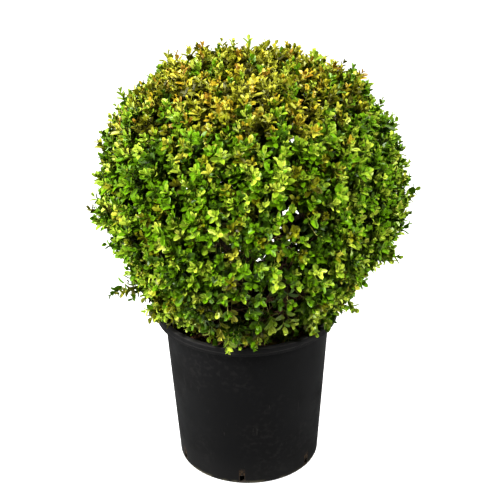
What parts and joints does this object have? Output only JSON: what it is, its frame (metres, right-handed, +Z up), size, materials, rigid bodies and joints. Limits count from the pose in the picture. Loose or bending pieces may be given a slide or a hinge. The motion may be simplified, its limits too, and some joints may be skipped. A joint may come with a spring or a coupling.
{
  "type": "box topiary ball",
  "caption": "Clipped evergreen ball of small glossy leaves on a short branching trunk, in a round tapered nursery pot filled with bark mix.",
  "frame": {"origin": "centre of the pot's flat underside", "axes": "+Z up through the pot, -Y towards the side that the plant shows first"},
  "size_m": [0.4978, 0.4941, 0.7053],
  "materials": {
    "pot_plastic": "black moulded plastic, dull sheen",
    "potting_mix": "damp composted bark and peat",
    "bark": "grey-brown bark, finely cracked",
    "foliage": "small glossy leaves, bright to deep green with yellow and bronze tips"
  },
  "bodies": {
    "root": {"pot": "pot_plastic", "potting_mix": "potting_mix", "trunk": "bark", "bough_top": "bark", "bough_upper_1": "bark", "bough_upper_2": "bark", "bough_upper_3": "bark", "bough_upper_4": "bark", "bough_upper_5": "bark", "bough_lower_1": "bark", "bough_lower_2": "bark", "bough_lower_3": "bark", "bough_lower_4": "bark", "bough_lower_5": "bark", "foliage_top": "foliage", "foliage_upper_1": "foliage", "foliage_upper_2": "foliage", "foliage_upper_3": "foliage", "foliage_upper_4": "foliage", "foliage_upper_5": "foliage", "foliage_lower_1": "foliage", "foliage_lower_2": "foliage", "foliage_lower_3": "foliage", "foliage_lower_4": "foliage", "foliage_lower_5": "foliage"}
  },
  "joints": []
}
